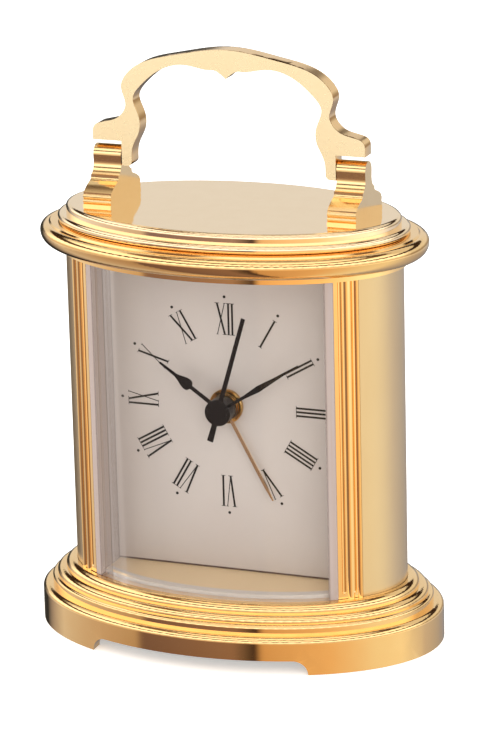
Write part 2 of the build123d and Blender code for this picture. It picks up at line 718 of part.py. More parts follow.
with BuildPart() as intermediate_wheel:
    gear(step_spot, step_layer, step_layer + wheel_wall, step_teeth, step_module, step_phase)
    lighten(step_spot, step_layer, step_layer + wheel_wall, 3.1, 1.1, 5)
    gear(step_spot, seconds_layer - 0.2, step_layer, step_pinion_teeth, seconds_module, step_pinion_phase)
    disc(*step_spot, case_y - pivot_depth, seconds_layer - 0.2, arbor_radius)
    disc(*step_spot, step_layer + wheel_wall, train_back + pivot_depth, arbor_radius)
finish(intermediate_wheel, "intermediate_wheel")

with BuildPart() as rotor:
    gear(rotor_spot, step_layer - 0.2, magnet_layer, rotor_teeth, step_module, rotor_phase)
    disc(*rotor_spot, magnet_layer, magnet_layer + 2.0, magnet_radius)
    disc(*rotor_spot, case_y - pivot_depth, step_layer - 0.2, arbor_radius)
    disc(*rotor_spot, magnet_layer + 2.0, train_back + pivot_depth, arbor_radius)
finish(rotor, "rotor")

# ---------------------------------------------------------------- setting shafts and knobs
knob_front = body_b + 0.4


def knob(spot, shaft_radius):
    disc(*spot, knob_front, knob_front + knob_length, knob_radius)
    disc(*spot, knob_front, knob_front + 2.6, shaft_radius, Mode.SUBTRACT)


time_pinion_end = minute_layer + 1.0
with BuildPart() as time_set_shaft:
    gear(time_shaft_spot, minute_layer, time_pinion_end, cannon_teeth, motion_module, time_pinion_phase)
    disc(*time_shaft_spot, case_y - pivot_depth, minute_layer, time_shaft_radius)
    disc(*time_shaft_spot, time_pinion_end, knob_front + 2.6, time_shaft_radius)
finish(time_set_shaft, "time_set_shaft")

with BuildPart() as alarm_set_shaft:
    gear(alarm_set_spot, alarm_layer, alarm_layer + wheel_wall, alarm_set_teeth, alarm_module, alarm_set_phase)
    disc(*alarm_set_spot, case_y - pivot_depth, alarm_layer, alarm_shaft_radius)
    disc(*alarm_set_spot, alarm_layer + wheel_wall, knob_front + 2.6, alarm_shaft_radius)
finish(alarm_set_shaft, "alarm_set_shaft")

grip_grooves = 20
knobs = (
    ("time_set_knob", time_shaft_spot, time_shaft_radius),
    ("alarm_set_knob", alarm_set_spot, alarm_shaft_radius),
)
for name, spot, shaft_radius in knobs:
    with BuildPart() as turned_knob:
        knob(spot, shaft_radius)
        fillet(turned_knob.edges().group_by(Axis.Y)[-1], 0.6)
        with BuildSketch(at_y(knob_front + knob_length)) as grooves:
            with Locations(spot):
                with PolarLocations(knob_radius, grip_grooves):
                    Circle(0.35)
        extrude(grooves.sketch, amount=knob_length, mode=Mode.SUBTRACT)
    finish(turned_knob, name)

# ---------------------------------------------------------------- stepping motor and electronics
coil_z = case_bottom + 10.5
coil_x = rotor_spot[0] - 5.0
coil_length = 14.0
coil_radius = 2.45
leg_x = coil_length / 2 + 2.6
leg_half = 1.6
stator_layer = magnet_layer + 0.6
stator_wall = 0.7
with BuildPart() as stator:
    block(coil_x - leg_x - leg_half, coil_x + leg_x + leg_half, stator_layer, stator_layer + stator_wall,
          rotor_spot[1] - 3.4, rotor_spot[1] + 3.4)
    for side in (-1, 1):
        x = coil_x + side * leg_x
        block(x - leg_half, x + leg_half, stator_layer, stator_layer + stator_wall,
              coil_z - 1.2, rotor_spot[1] - 3.4)
    disc(*rotor_spot, stator_layer, stator_layer + stator_wall, magnet_radius + 0.4, Mode.SUBTRACT)
finish(stator, "stator")

with BuildPart() as coil_core:
    block(coil_x - leg_x - leg_half, coil_x + leg_x + leg_half, stator_layer - 0.7, stator_layer,
          coil_z - 0.9, coil_z + 0.9)
finish(coil_core, "coil_core")

core_mid = stator_layer - 0.35
with BuildPart() as coil:
    axle(core_mid, coil_z, coil_x - coil_length / 2, coil_x + coil_length / 2, coil_radius)
    for side in (-1, 1):
        x = coil_x + side * (coil_length / 2 - 0.3)
        axle(core_mid, coil_z, x - 0.3, x + 0.3, coil_radius + 0.4)
    block(coil_x - leg_x, coil_x + leg_x, stator_layer - 0.7 - play, stator_layer + play,
          coil_z - 0.9 - play, coil_z + 0.9 + play, Mode.SUBTRACT)
finish(coil, "coil")

board_top = case_top - case_wall - 0.5
board_left = -case_half_width + case_wall + 0.5
board_right = board_left + 9.0
board_bottom = board_top - 15.0
board_y = case_y + 2.0
with BuildPart() as circuit_board:
    block(board_left, board_right, board_y, board_y + 0.8, board_bottom, board_top)
    block(board_left, board_left + 4.0, board_y, board_y + 0.8, board_top - 4.0, board_top, Mode.SUBTRACT)
    block(board_left + 2.4, board_left + 5.4, board_y + 0.8, board_y + 1.8, board_bottom + 2, board_bottom + 5)
finish(circuit_board, "circuit_board")

crystal_x = board_left + 6.6
with BuildPart() as quartz_can:
    post(crystal_x, board_y + 0.8 + 1.0, board_bottom + 6.2, board_bottom + 12.2, 1.0)
    fillet(quartz_can.edges().group_by(Axis.Z)[-1], 0.3)
finish(quartz_can, "quartz_can")

buzzer_radius = 5.6
buzzer_spot = (board_left + 6.3, board_bottom + 6.6)
with BuildPart() as buzzer:
    disc(*buzzer_spot, train_back - 2.4, train_back, buzzer_radius)
    disc(*buzzer_spot, train_back - 2.8, train_back - 2.4, buzzer_radius - 0.8)
finish(buzzer, "buzzer")

leaf_tip = alarm_layer + wheel_wall + 0.1
with BuildPart() as alarm_contact:
    with BuildSketch(Plane.XY.offset(hand_z - 4.6)) as leaf:
        with BuildLine():
            Polyline(
                (divider_low, leaf_tip + 1.7), (divider_low - 0.4, leaf_tip + 1.7),
                (divider_low - 2.6, leaf_tip + 0.2), (divider_low - 4.6, leaf_tip),
                (divider_low - 4.6, leaf_tip + 0.2), (divider_low - 2.6, leaf_tip + 0.4),
                (divider_low - 0.6, leaf_tip + 1.9), (divider_low - 0.6, leaf_tip + 5.0),
                (divider_low, leaf_tip + 5.0), close=True,
            )
        make_face()
    extrude(leaf.sketch, amount=1.6)
finish(alarm_contact, "alarm_contact")

# ---------------------------------------------------------------- battery
chamber_bottom = case_bottom + case_wall
chamber_top = case_top - case_wall
battery_top = chamber_top - contact_thickness
battery_bottom = battery_top - battery_body - battery_nub
with BuildPart() as battery:
    post(battery_x, battery_y, battery_bottom, battery_bottom + battery_body, battery_radius)
    fillet(battery.edges().group_by(Axis.Z)[-1], 0.6)
    fillet(battery.edges().group_by(Axis.Z)[0], 0.6)
    post(battery_x, battery_y, battery_bottom + battery_body, battery_top, 2.7)
finish(battery, "battery")

contact_half = 4.5
with BuildPart() as contact_positive:
    block(battery_x - contact_half, battery_x + contact_half, battery_y - contact_half, battery_y + contact_half,
          battery_top, chamber_top)
finish(contact_positive, "contact_positive")

spring_low = chamber_bottom + contact_thickness
spring_high = battery_bottom
wire_radius = 0.35
with BuildPart() as contact_spring:
    block(battery_x - contact_half, battery_x + contact_half, battery_y - contact_half, battery_y + contact_half,
          chamber_bottom, spring_low)
    coil_centre = Plane((battery_x, battery_y, spring_low + wire_radius * 0.6))
    with BuildLine(coil_centre) as coil_path:
        Helix(pitch=(spring_high - spring_low - wire_radius * 1.6) / 3,
              height=spring_high - spring_low - wire_radius * 1.7, radius=3.2)
    with BuildSketch(Plane(origin=coil_path.line @ 0, z_dir=coil_path.line % 0)) as wire:
        Circle(wire_radius)
    sweep(wire.sketch, path=coil_path.line)
finish(contact_spring, "contact_spring")

# ================================================================ back
door_low = opening_bottom + 1.8
door_high = opening_top - 0.9
door_left = battery_x - door_half_width
door_right = battery_x + door_half_width
slot_low = case_top - 9.6
slot_high = slot_low + 2.8
slot_left = -10.2
slot_right = slot_left + 3.2 + switch_travel
grille_spot = (-19.0, 59.5)


def back_panel(outer, inner, x0, x1, z0, z1, mode=Mode.ADD):
    """Curved panel between two ovals, at the back only."""
    with BuildSketch(Plane.XY.offset(z0)) as outline:
        oval(outer)
        oval_inner = (base_half_width - inner, base_half_depth - inner)
        Ellipse(*oval_inner, mode=Mode.SUBTRACT)
        with Locations(((x0 + x1) / 2, base_half_depth / 2)):
            Rectangle(x1 - x0, base_half_depth, mode=Mode.INTERSECT)
    extrude(outline.sketch, amount=z1 - z0, mode=mode)


with BuildPart() as rear_cover:
    back_panel(cover_outer, cover_inner, -opening_half + cover_gap, opening_half - cover_gap,
               opening_bottom + cover_gap, opening_top - cover_gap)
    # lips behind the shell, above and below the opening
    lip = 20.0
    back_panel(body_inset + shell_wall + 0.1, cover_inner + 1.0, -lip, lip,
               opening_bottom - 1.4, opening_bottom + 1.4)
    back_panel(body_inset + shell_wall + 0.1, cover_inner + 1.0, -lip, lip,
               opening_top - 0.8, opening_top + 1.4)
    for x, z in cover_screw_spots:
        disc(x, z, rear_y, oval_y(x, cover_outer) - 1.0, 2.6)
        disc(x, z, rear_y, body_b, screw_radius + play, Mode.SUBTRACT)
        disc(x, z, oval_y(x, cover_outer) - 1.9, body_b, screw_head_radius + 0.1, Mode.SUBTRACT)
    block(door_left, door_right, 0, body_b, door_low, door_high, Mode.SUBTRACT)
    disc(*time_shaft_spot, 0, body_b, time_shaft_radius + 0.4, Mode.SUBTRACT)
    disc(*alarm_set_spot, 0, body_b, alarm_shaft_radius + 0.4, Mode.SUBTRACT)
    block(slot_left, slot_right, 0, body_b, slot_low, slot_high, Mode.SUBTRACT)
    disc(*grille_spot, 0, body_b, 0.6, Mode.SUBTRACT)
    lighten(grille_spot, 0, body_b, 2.6, 0.6, 6)
finish(rear_cover, "rear_cover")

with BuildPart() as cover_screws:
    for x, z in cover_screw_spots:
        seat = oval_y(x, cover_outer) - 1.9
        disc(x, z, seat, seat + screw_head, screw_head_radius)
        disc(x, z, rear_y - 1.0, seat, screw_radius)
        block(x - 2, x + 2, seat + 0.6, seat + screw_head, z - 0.25, z + 0.25, Mode.SUBTRACT)
finish(cover_screws, "cover_screws")

with BuildPart() as battery_door:
    back_panel(cover_outer, cover_inner, door_left + door_gap, door_right - door_gap,
               door_low + door_gap, door_high - door_gap)
    # finger notch near the top
    notch_y = oval_y(battery_x, cover_outer)
    with Locations((battery_x, notch_y + 2.4, door_high - 6.0)):
        Sphere(3.2, mode=Mode.SUBTRACT)
finish(battery_door, "battery_door")

switch_low = slot_low + 0.15
switch_left = slot_left + 0.15
switch_back = body_b + 1.2
inner_face = oval_y(slot_left - 1.0, cover_inner)
with BuildPart() as alarm_switch:
    block(switch_left, switch_left + 2.9, inner_face - 1.3, switch_back, switch_low, slot_high - 0.15)
    fillet(alarm_switch.edges().group_by(Axis.Y)[-1], 0.4)
    block(switch_left - 0.8, switch_left + 3.7, inner_face - 1.3, inner_face - 0.3, slot_low - 1.2, slot_high + 1.2)
finish(alarm_switch, "alarm_switch")

# ================================================================ hands
def hand_frame(angle, y_back):
    """Plane facing the front whose own up points along the hand."""
    turn = radians(angle)
    return Plane(origin=(0, y_back, hand_z), x_dir=(cos(turn), 0, -sin(turn)), z_dir=(0, -1, 0))


def blade(angle, out, points):
    """Flat hand, symmetric, given as (distance, half width) from the arbor."""
    with BuildSketch(hand_frame(angle, dial_y - out)) as outline:
        with BuildLine():
            Polyline(*[(w, d) for d, w in points], *[(-w, d) for d, w in reversed(points)], close=True)
        make_face()
    extrude(outline.sketch, amount=hand_sheet)


def hub(front, back, radius, bore):
    disc(0, hand_z, front, back, radius)
    disc(0, hand_z, front - 1, back + 1, bore, Mode.SUBTRACT)


with BuildPart() as alarm_hand:
    blade(alarm_at, alarm_hand_out, [(0, 0.35), (alarm_hand_length - 3, 0.32), (alarm_hand_length, 0.12)])
    hub(alarm_tube_front, dial_y - alarm_hand_out, alarm_tube_radius + 0.7, alarm_tube_radius)
finish(alarm_hand, "alarm_hand")

spade = 0.52 * hour_hand_length
with BuildPart() as hour_hand:
    blade(hour_at, hour_hand_out, [(0, 0.36), (spade, 0.36)])
    with BuildSketch(hand_frame(hour_at, dial_y - hour_hand_out)) as leaf_outline:
        with BuildLine():
            rise = spade - 0.55
            Spline((0, rise), (1.15, spade + 0.7), (0.75, spade + 2.0), (0.3, spade + 3.4),
                   tangents=((1, 0), (-0.25, 1)))
            Line((0.3, spade + 3.4), (0.16, hour_hand_length))
            Line((0.16, hour_hand_length), (0, hour_hand_length))
            mirror(about=Plane.YZ)
        make_face()
    extrude(leaf_outline.sketch, amount=hand_sheet)
    hub(hour_tube_front, alarm_tube_front - 0.4, hub_radius, hour_tube_radius)
finish(hour_hand, "hour_hand")

with BuildPart() as minute_hand:
    blade(minute_at, minute_hand_out, [
        (0, 0.3), (0.32 * minute_hand_length, 0.32), (0.5 * minute_hand_length, 0.62),
        (0.72 * minute_hand_length, 0.34), (minute_hand_length, 0.12),
    ])
    hub(cannon_front, hour_tube_front - hub_gap, hub_radius, cannon_radius)
finish(minute_hand, "minute_hand")

with BuildPart() as second_hand:
    blade(second_at, second_hand_out, [(-second_tail, 0.62), (0, 0.46), (second_hand_length, 0.4)])
    disc(0, hand_z, second_front - 0.25, cannon_front - hub_gap, hub_radius)
    fillet(second_hand.edges().group_by(Axis.Y)[0], 0.2)
    disc(0, hand_z, second_front + 0.15, 0, second_radius, Mode.SUBTRACT)
finish(second_hand, "second_hand")
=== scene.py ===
import json
import bpy
import bmesh
from math import cos, pi, radians, sin
from mathutils import Matrix, Vector


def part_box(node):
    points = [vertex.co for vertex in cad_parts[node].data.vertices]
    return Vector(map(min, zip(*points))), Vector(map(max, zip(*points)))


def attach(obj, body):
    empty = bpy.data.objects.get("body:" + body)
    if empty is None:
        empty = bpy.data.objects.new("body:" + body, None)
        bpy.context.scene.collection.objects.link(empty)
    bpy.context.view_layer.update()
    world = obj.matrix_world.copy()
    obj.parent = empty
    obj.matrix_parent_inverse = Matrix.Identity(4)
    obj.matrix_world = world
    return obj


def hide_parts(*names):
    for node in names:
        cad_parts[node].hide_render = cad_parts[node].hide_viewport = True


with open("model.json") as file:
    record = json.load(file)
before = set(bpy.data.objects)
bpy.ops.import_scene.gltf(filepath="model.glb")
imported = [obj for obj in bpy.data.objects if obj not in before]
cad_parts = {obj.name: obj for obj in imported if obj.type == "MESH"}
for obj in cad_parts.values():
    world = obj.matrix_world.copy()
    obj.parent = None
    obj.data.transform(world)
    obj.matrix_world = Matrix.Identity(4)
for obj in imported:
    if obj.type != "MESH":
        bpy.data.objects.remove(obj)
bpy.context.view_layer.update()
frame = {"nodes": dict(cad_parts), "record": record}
nodes = frame["nodes"]
MM = 0.001


# ---------------------------------------------------------------- shader helpers
class Wire:
    """A node's output that can be used in arithmetic."""

    def __init__(self, finish, socket):
        self.finish = finish
        self.socket = socket

    def maths(self, operation, first, second):
        return self.finish.node("Math", {"operation": operation}, {0: first, 1: second})

    def __add__(self, other):
        return self.maths("ADD", self, other)

    def __radd__(self, other):
        return self.maths("ADD", other, self)

    def __sub__(self, other):
        return self.maths("SUBTRACT", self, other)

    def __rsub__(self, other):
        return self.maths("SUBTRACT", other, self)

    def __mul__(self, other):
        return self.maths("MULTIPLY", self, other)

    def __rmul__(self, other):
        return self.maths("MULTIPLY", other, self)

    def __abs__(self):
        return self.finish.node("Math", {"operation": "ABSOLUTE"}, {0: self})


class Finish:
    """A material, or the world, built node by node. Colours are three numbers."""

    def __init__(self, owner):
        owner.use_nodes = True
        self.tree = owner.node_tree
        self.tree.nodes.clear()

    def node(self, kind, settings, inputs, output=0):
        made = self.tree.nodes.new("ShaderNode" + kind)
        for key, value in settings.items():
            if key == "stops":
                self.set_stops(made.color_ramp, value)
            else:
                setattr(made, key, value)
        for key, value in inputs.items():
            socket = made.inputs[key]
            if isinstance(value, Wire):
                self.tree.links.new(value.socket, socket)
            elif socket.type == "RGBA":
                socket.default_value = (*value, 1.0)
            else:
                socket.default_value = value
        return Wire(self, made.outputs[output]) if made.outputs else None

    def set_stops(self, ramp, stops):
        while len(ramp.elements) < len(stops):
            ramp.elements.new(1.0)
        for element, (place, colour) in zip(ramp.elements, stops):
            element.position = place
            element.color = (*colour, 1.0)

    def place(self):
        return self.node("TexCoord", {}, {}, "Object")

    def part_of(self, vector, axis):
        return self.node("SeparateXYZ", {}, {"Vector": vector}, "XYZ".index(axis))

    def off_centre(self):
        """Distance to the left or right of the clock's middle, in metres."""
        return abs(self.part_of(self.place(), "X"))

    def height(self):
        return self.part_of(self.place(), "Z")

    def mapped(self, scale):
        return self.node("Mapping", {}, {"Vector": self.place(), "Scale": scale})

    def noise(self, scale, detail=2.0, rough=0.5):
        """Noise over the piece; scale is in cycles per metre along each axis."""
        return self.node("TexNoise", {}, {"Vector": self.mapped(scale), "Scale": 1.0,
                                          "Detail": detail, "Roughness": rough})

    def fade(self, value, start, end, low=0.0, high=1.0, kind="LINEAR"):
        return self.node("MapRange", {"interpolation_type": kind},
                         {"Value": value, "From Min": start, "From Max": end,
                          "To Min": low, "To Max": high})

    def ramp(self, value, stops):
        return self.node("ValToRGB", {"stops": stops}, {"Fac": value})

    def blend(self, amount, first, second, mode="MIX"):
        # sockets 6 and 7 are a Mix node's two colours, and its output 2 is their mix
        return self.node("Mix", {"data_type": "RGBA", "blend_type": mode},
                         {0: amount, 6: first, 7: second}, 2)

    def bump(self, height, distance, strength=1.0):
        return self.node("Bump", {}, {"Height": height, "Distance": distance, "Strength": strength})

    def surface(self, **values):
        """The Principled shader; keys are its socket names with underscores."""
        return self.node("BsdfPrincipled", {},
                         {key.replace("_", " "): value for key, value in values.items()})

    def output(self, shader, kind="OutputMaterial"):
        self.node(kind, {}, {"Surface": shader})


finishes = {}


def finish(name):
    material = bpy.data.materials.new(name)
    finishes[name] = material
    return Finish(material)


# ---------------------------------------------------------------- golds
def polished(name, colour, deep, roughness):
    """Buffed and lacquered brass: faint haze, fine level hairlines and warmer patches."""
    f = finish(name)
    haze = f.noise((220, 220, 220), 3.0)
    hair = f.noise((900, 900, 5200), 2.0)
    tone = f.blend(haze, colour, deep)
    hair_depth = 0.004 * MM
    f.output(f.surface(Base_Color=tone, Metallic=1.0, Roughness=haze * 0.05 + (roughness - 0.02),
                       Normal=f.bump(hair, hair_depth, 0.12)))


polished("polished_gold", (1.0, 0.70, 0.33), (0.98, 0.64, 0.28), 0.07)
polished("bracket_gold", (1.0, 0.74, 0.38), (0.98, 0.68, 0.32), 0.15)
# painted dark reflection: the bail's rounded rims get a darker copy of the polished gold
polished("bail_rim_painted_dark", (0.50, 0.30, 0.13), (0.38, 0.21, 0.08), 0.16)
polished("bail_edge", (0.98, 0.68, 0.34), (0.92, 0.58, 0.25), 0.10)
polished("alarm_gold", (1.0, 0.80, 0.54), (0.98, 0.74, 0.47), 0.22)
# painted dark reflection: the nut is a darker copy of the polished gold, for the dark hub it reflects
polished("nut_gold_painted_dark", (0.66, 0.42, 0.17), (0.52, 0.31, 0.11), 0.18)

# The bail's flat faces are satin under thick lacquer; its brackets are brighter.
f = finish("handle_gold")
grain = f.noise((900, 900, 900), 3.0)
patches = f.noise((140, 140, 140), 2.0)
lacquer = f.blend(patches, (1.0, 0.85, 0.54), (0.99, 0.81, 0.49))
f.output(f.surface(Base_Color=lacquer, Metallic=0.50, Roughness=grain * 0.04 + 0.25))

# The body is brushed up and down.
f = finish("satin_gold")
brushing = f.noise((5200, 5200, 90), 3.0, 0.6)
patches = f.noise((160, 160, 60), 2.0)
brushed_tone = f.blend(patches, (0.83, 0.64, 0.38), (0.78, 0.58, 0.33))
f.output(f.surface(Base_Color=brushed_tone, Metallic=1.0, Roughness=brushing * 0.12 + 0.26,
                   Normal=f.bump(brushing, 0.006 * MM, 0.25)))


# ---------------------------------------------------------------- plain finishes
def speckled(name, scale, detail, first, second, roughness, spread,
             metallic=0.0, rough_noise=0.5, dent=0.0, dent_strength=0.0):
    """One noise drives both the tone and the roughness, which rises by up to spread."""
    f = finish(name)
    speck = f.noise(scale, detail, rough_noise)
    values = {"Base_Color": f.blend(speck, first, second), "Metallic": metallic,
              "Roughness": speck * spread + roughness}
    if dent:
        values["Normal"] = f.bump(speck, dent, dent_strength)
    f.output(f.surface(**values))


speckled("plate_gold", (300, 300, 300), 3.0, (1.0, 0.78, 0.50), (0.97, 0.74, 0.46), 0.05, 0.04,
         metallic=1.0)
speckled("rail_frost", (60, 2600, 2600), 3.0, (0.66, 0.58, 0.53), (0.80, 0.75, 0.72), 0.3, 0.12,
         metallic=0.1, rough_noise=0.6)
speckled("dial_ink", (9000, 9000, 9000), 2.0, (0.002, 0.002, 0.002), (0.006, 0.005, 0.005), 0.45, 0.15)
speckled("black_gloss", (1800, 1800, 1800), 2.0, (0.004, 0.004, 0.004), (0.010, 0.009, 0.009),
         0.22, 0.08)
speckled("black_plastic", (5000, 5000, 5000), 3.0, (0.018, 0.018, 0.019), (0.030, 0.030, 0.031),
         0.42, 0.15, dent=0.02 * MM, dent_strength=0.3)
speckled("white_plastic", (2600, 2600, 2600), 2.0, (0.80, 0.79, 0.74), (0.86, 0.85, 0.80), 0.3, 0.1)
speckled("steel", (2500, 2500, 400), 2.0, (0.58, 0.57, 0.55), (0.68, 0.67, 0.65), 0.22, 0.15,
         metallic=1.0)
speckled("magnet", (3000, 3000, 3000), 3.0, (0.14, 0.14, 0.15), (0.22, 0.22, 0.23), 0.4, 0.15,
         metallic=0.8)
speckled("board_green", (900, 900, 900), 3.0, (0.02, 0.12, 0.05), (0.03, 0.18, 0.07), 0.3, 0.1)
speckled("buzzer_brass", (900, 900, 900), 3.0, (0.72, 0.55, 0.24), (0.80, 0.64, 0.32), 0.3, 0.1,
         metallic=1.0)
speckled("battery_wrap", (40, 40, 260), 1.0, (0.05, 0.07, 0.12), (0.07, 0.09, 0.15), 0.3, 0.1,
         metallic=0.4)

f = finish("copper_wire")
turns = f.node("TexWave", {"wave_type": "BANDS", "bands_direction": "X"},
               {"Vector": f.mapped((1, 1, 1)), "Scale": 2200.0, "Distortion": 0.3})
f.output(f.surface(Base_Color=f.blend(turns, (0.40, 0.15, 0.06), (0.72, 0.33, 0.16)), Metallic=0.8,
                   Roughness=turns * 0.1 + 0.3, Normal=f.bump(turns, 0.04 * MM, 0.6)))

# ---------------------------------------------------------------- dial, surround and crystal
sill_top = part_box("crystal_rail")[1][2]

# The dial is matt silver with a shadow line where it meets the surround.
shadow_from, shadow_full = 23.72 * MM, 23.86 * MM
f = finish("dial_silver")
speck = f.noise((2600, 2600, 2600), 3.0)
cloud = f.noise((60, 60, 60), 2.0)
beside = f.fade(f.off_centre(), shadow_from, shadow_full)
below = f.fade(f.height(), sill_top + 0.16 * MM, sill_top + 0.32 * MM, 1.0, 0.0)
shadow_line = f.node("Math", {"operation": "MAXIMUM"}, {0: beside, 1: below})
silver = f.blend(cloud, (0.55, 0.475, 0.45), (0.59, 0.525, 0.495))
f.output(f.surface(Base_Color=f.blend(shadow_line, silver, (0.10, 0.06, 0.05)), Metallic=0.12,
                   Roughness=speck * 0.1 + 0.46, Normal=f.bump(speck, 0.006 * MM, 0.12)))

# The dial's surround: pale jambs with a fine upright grain, and a tan gold sill.
f = finish("surround_grey")
grain = f.noise((3200, 3200, 60), 3.0, 0.6)
jamb = f.fade(f.height(), sill_top + 0.1 * MM, sill_top + 0.3 * MM)
pale = f.blend(grain, (0.74, 0.60, 0.50), (0.86, 0.80, 0.78))
f.output(f.surface(Base_Color=f.blend(jamb, (0.92, 0.72, 0.46), pale), Metallic=0.35 - 0.25 * jamb,
                   Roughness=grain * 0.12 + 0.32))

# The crystal is thin and clear: a Fresnel share of gloss over plain see-through. Its two bent
# sides are milky where they were polished, with upright streaks; their pale tone is painted light, a
# glow (emission), which fades to a painted shade line along their inner edge.
bend_from, bend_full, side_full = 23.65 * MM, 23.95 * MM, 24.15 * MM
f = finish("crystal_clear")
faint = f.noise((120, 120, 120), 2.0)
streak = f.noise((2200, 2200, 25), 3.0, 0.55)
gloss = f.surface(Base_Color=(1.0, 1.0, 1.0), Roughness=0.02, Metallic=1.0)
clear = f.node("BsdfTransparent", {}, {"Color": (0.97, 0.975, 0.97)})
share = f.node("Fresnel", {}, {"IOR": 1.35})
front = f.node("MixShader", {}, {0: share * 0.45 + faint * 0.004, 1: clear, 2: gloss})
# painted shade: the glow turns dark along the bent sides' inner edge, as a shade line
painted_shade_line_fade = f.fade(f.off_centre(), bend_full, side_full)
bend = f.fade(f.off_centre(), bend_from, bend_full, high=0.8, kind="SMOOTHSTEP")
# painted light: the milky sides glow (emission) a pale pinkish tan
painted_side_glow = f.blend(streak, (0.52, 0.37, 0.28), (0.52, 0.46, 0.44))
milky_with_painted_glow = f.surface(Base_Color=f.blend(streak, (0.18, 0.13, 0.11), (0.21, 0.18, 0.18)),
                  Roughness=streak * 0.2 + 0.25,
                  Emission_Color=f.blend(painted_shade_line_fade, (0.05, 0.03, 0.02), painted_side_glow),
                  Emission_Strength=0.62)
f.output(f.node("MixShader", {}, {0: bend, 1: front, 2: milky_with_painted_glow}))

# ---------------------------------------------------------------- finish of each CAD node
finish_of_slot = {
    "polished_gold": "polished_gold", "satin_gold": "satin_gold", "alarm_gold": "alarm_gold",
    "crystal": "crystal_clear", "dial_silver": "dial_silver", "carrier": "steel",
    "black_metal": "black_gloss", "black_plastic": "black_plastic",
    "white_plastic": "white_plastic", "steel": "steel", "magnet": "magnet",
    "copper": "copper_wire", "board_green": "board_green", "buzzer_brass": "buzzer_brass",
    "battery_wrap": "battery_wrap",
}
finish_of_node = {
    "handle": "handle_gold",
    "bracket_left": "bracket_gold", "bracket_right": "bracket_gold", "top_plate": "plate_gold",
    "fixing_nut": "nut_gold_painted_dark", "dial_surround": "surround_grey", "crystal_rail": "rail_frost",
}
for part in frame["record"]["subparts"]:
    name = finish_of_node.get(part["node"], finish_of_slot[part["material_slot"]])
    materials = nodes[part["node"]].data.materials
    materials.clear()
    materials.append(finishes[name])


# ---------------------------------------------------------------- new pieces
def new_piece(name, bm, *finish_names):
    """Turn a finished bmesh into an object of the scene, at the origin."""
    mesh = bpy.data.meshes.new(name)
    bm.to_mesh(mesh)
    bm.free()
    for each in finish_names:
        mesh.materials.append(finishes[each])
    made = bpy.data.objects.new(name, mesh)
    bpy.context.scene.collection.objects.link(made)
    return made


# ---------------------------------------------------------------- printing on the dial
hub_low, hub_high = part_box("cannon_pinion")
print_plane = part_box("dial_plate")[0][1]
dial_middle = ((hub_low[0] + hub_high[0]) / 2, (hub_low[2] + hub_high[2]) / 2)
numerals = ("XII", "I", "II", "III", "IIII", "V", "VI", "VII", "VIII", "IX", "X", "XI")
foot_radius, numeral_height = 14.4 * MM, 6.3 * MM
letter_width, letter_gap = 1.55 * MM, 0.38 * MM
broad, fine = 0.40 * MM, 0.17 * MM
serif_thickness, serif_overhang = 0.11 * MM, 0.04 * MM
serif_reach = 1.1                    # half a serif's length, in widths of its stroke
dot_ring_radius, dot_foot, dot_face = 22.0 * MM, 0.31 * MM, 0.29 * MM
ink_depth = 0.03 * MM


def printed_bar(bm, start, end, width):
    """One straight inked stroke between two points on the dial."""
    along = Vector((end[0] - start[0], 0, end[1] - start[1]))
    length = along.length
    along.normalize()
    out_of_dial = Vector((0, -1, 0))
    middle = Vector(((start[0] + end[0]) / 2, print_plane, (start[1] + end[1]) / 2))
    turn = Matrix((along, along.cross(out_of_dial), out_of_dial)).transposed().to_4x4()
    size = Matrix.Diagonal((length, width, ink_depth, 1))
    bmesh.ops.create_cube(bm, size=1.0, matrix=Matrix.Translation(middle) @ turn @ size)


def letter_strokes(letter):
    """A letter's width, and its strokes as (start, end, weight) in letter widths and heights."""
    if letter == "I":
        return 0.0, [((0, 1), (0, 0), broad)]
    if letter == "V":
        return letter_width, [((0, 1), (0.5, 0), broad), ((1, 1), (0.5, 0), fine)]
    return letter_width, [((0, 1), (1, 0), broad), ((1, 1), (0, 0), fine)]


def dial_print():
    """Twelve Roman numerals that stand on their radii, and a dot outside each."""
    bm = bmesh.new()
    for hour, numeral in enumerate(numerals):
        angle = radians(30 * hour)
        out = (sin(angle), cos(angle))
        side = (cos(angle), -sin(angle))

        def spot(across, up):
            radius = foot_radius + up
            return (dial_middle[0] + out[0] * radius + side[0] * across,
                    dial_middle[1] + out[1] * radius + side[1] * across)

        widths = [letter_strokes(letter)[0] + broad for letter in numeral]
        pen = -(sum(widths) + letter_gap * (len(numeral) - 1)) / 2 + broad / 2
        for letter, width in zip(numeral, widths):
            span, strokes = letter_strokes(letter)
            for start, end, weight in strokes:
                top = (pen + start[0] * span, start[1] * numeral_height)
                foot = (pen + end[0] * span, end[1] * numeral_height)
                printed_bar(bm, spot(*top), spot(*foot), weight)
                reach = serif_reach * weight + serif_overhang
                for across, up in (top, foot):
                    printed_bar(bm, spot(across - reach, up), spot(across + reach, up),
                                serif_thickness)
            pen += width + letter_gap
        dot = spot(0, dot_ring_radius - foot_radius)
        facing = Matrix.Rotation(pi / 2, 4, "X")
        bmesh.ops.create_cone(bm, cap_ends=True, segments=24, radius1=dot_foot, radius2=dot_face,
                              depth=ink_depth,
                              matrix=Matrix.Translation((dot[0], print_plane, dot[1])) @ facing)
    bmesh.ops.recalc_face_normals(bm, faces=bm.faces)
    made = new_piece("dial_print", bm, "dial_ink")
    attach(made, "clock")


# ---------------------------------------------------------------- softened bail
rim_radius, rim_steps = 0.38 * MM, 4
weld_distance = 0.004 * MM
coplanar_angle = radians(0.05)
crease_angle = radians(40)
flat_facing, edge_facing = 0.99, 0.02      # how squarely a face looks to the front or back


